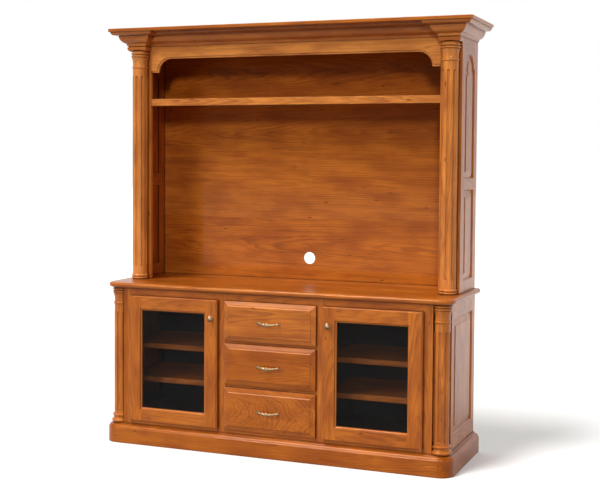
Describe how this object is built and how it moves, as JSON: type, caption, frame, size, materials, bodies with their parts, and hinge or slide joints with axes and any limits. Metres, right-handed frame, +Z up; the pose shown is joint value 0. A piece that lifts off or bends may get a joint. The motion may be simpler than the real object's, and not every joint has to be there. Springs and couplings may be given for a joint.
{
  "type": "television stand with hutch",
  "caption": "Wooden television stand with fluted corner columns, glazed doors, drawers and an open hutch with a display shelf, arched valance and break-front crown.",
  "frame": {"origin": "on the floor, at the middle of the width and of the depth over the pulls", "axes": "+Z up, front faces -Y, +X to the right as seen from the front"},
  "size_m": [1.837, 0.5504, 2.032],
  "materials": {
    "stained_wood": "stained orange-brown hardwood with a satin lacquer",
    "inner_wood": "clear lacquered maple, for the drawer boxes",
    "black_wood": "black-stained plywood, inside the base",
    "antique_brass": "antique brass, darkened in the hollows",
    "zinc_steel": "zinc-plated pressed steel",
    "tinted_glass": "dark tinted float glass"
  },
  "bodies": {
    "cabinet": {"plinth": "stained_wood", "base_bottom": "black_wood", "base_side_left": "stained_wood", "base_side_right": "stained_wood", "base_panel_left": "stained_wood", "base_panel_right": "stained_wood", "partition_left": "black_wood", "partition_right": "black_wood", "base_back": "black_wood", "base_face_frame": "stained_wood", "base_column_left": "stained_wood", "base_column_right": "stained_wood", "base_top": "stained_wood", "shelf_left_upper": "stained_wood", "shelf_left_lower": "stained_wood", "shelf_right_upper": "stained_wood", "shelf_right_lower": "stained_wood", "shelf_pins": "zinc_steel", "cabinet_slides": "zinc_steel", "pivot_plates": "antique_brass", "door_catches": "zinc_steel", "hutch_side_left": "stained_wood", "hutch_side_right": "stained_wood", "arch_panel_left": "stained_wood", "arch_panel_right": "stained_wood", "low_panel_left": "stained_wood", "low_panel_right": "stained_wood", "hutch_stile_left": "stained_wood", "hutch_stile_right": "stained_wood", "valance": "stained_wood", "hutch_shelf": "stained_wood", "hutch_back": "stained_wood", "hutch_column_left": "stained_wood", "hutch_column_right": "stained_wood", "crown_cap": "stained_wood", "crown_center": "stained_wood", "crown_left": "stained_wood", "crown_right": "stained_wood"},
    "door_left": {"door_left_frame": "stained_wood", "door_left_glass": "tinted_glass", "door_left_knob": "antique_brass", "door_left_strike": "zinc_steel"},
    "door_right": {"door_right_frame": "stained_wood", "door_right_glass": "tinted_glass", "door_right_knob": "antique_brass", "door_right_strike": "zinc_steel"},
    "drawer_bottom": {"drawer_bottom_front": "stained_wood", "drawer_bottom_box": "inner_wood", "drawer_bottom_pull": "antique_brass", "drawer_bottom_slides": "zinc_steel"},
    "drawer_middle": {"drawer_middle_front": "stained_wood", "drawer_middle_box": "inner_wood", "drawer_middle_pull": "antique_brass", "drawer_middle_slides": "zinc_steel"},
    "drawer_top": {"drawer_top_front": "stained_wood", "drawer_top_box": "inner_wood", "drawer_top_pull": "antique_brass", "drawer_top_slides": "zinc_steel"}
  },
  "joints": [
    {"name": "door_left_hinge", "type": "hinge", "parent": "cabinet", "child": "door_left", "pos_m": [-0.733, -0.24225, 0.4205], "axis": [0, 0, -1], "range_deg": [0, 105]},
    {"name": "door_right_hinge", "type": "hinge", "parent": "cabinet", "child": "door_right", "pos_m": [0.733, -0.24225, 0.4205], "axis": [0, 0, 1], "range_deg": [0, 105]},
    {"name": "drawer_bottom_slide", "type": "slide", "parent": "cabinet", "child": "drawer_bottom", "axis": [0, -1, 0], "range_m": [0, 0.34]},
    {"name": "drawer_middle_slide", "type": "slide", "parent": "cabinet", "child": "drawer_middle", "axis": [0, -1, 0], "range_m": [0, 0.34]},
    {"name": "drawer_top_slide", "type": "slide", "parent": "cabinet", "child": "drawer_top", "axis": [0, -1, 0], "range_m": [0, 0.34]}
  ]
}
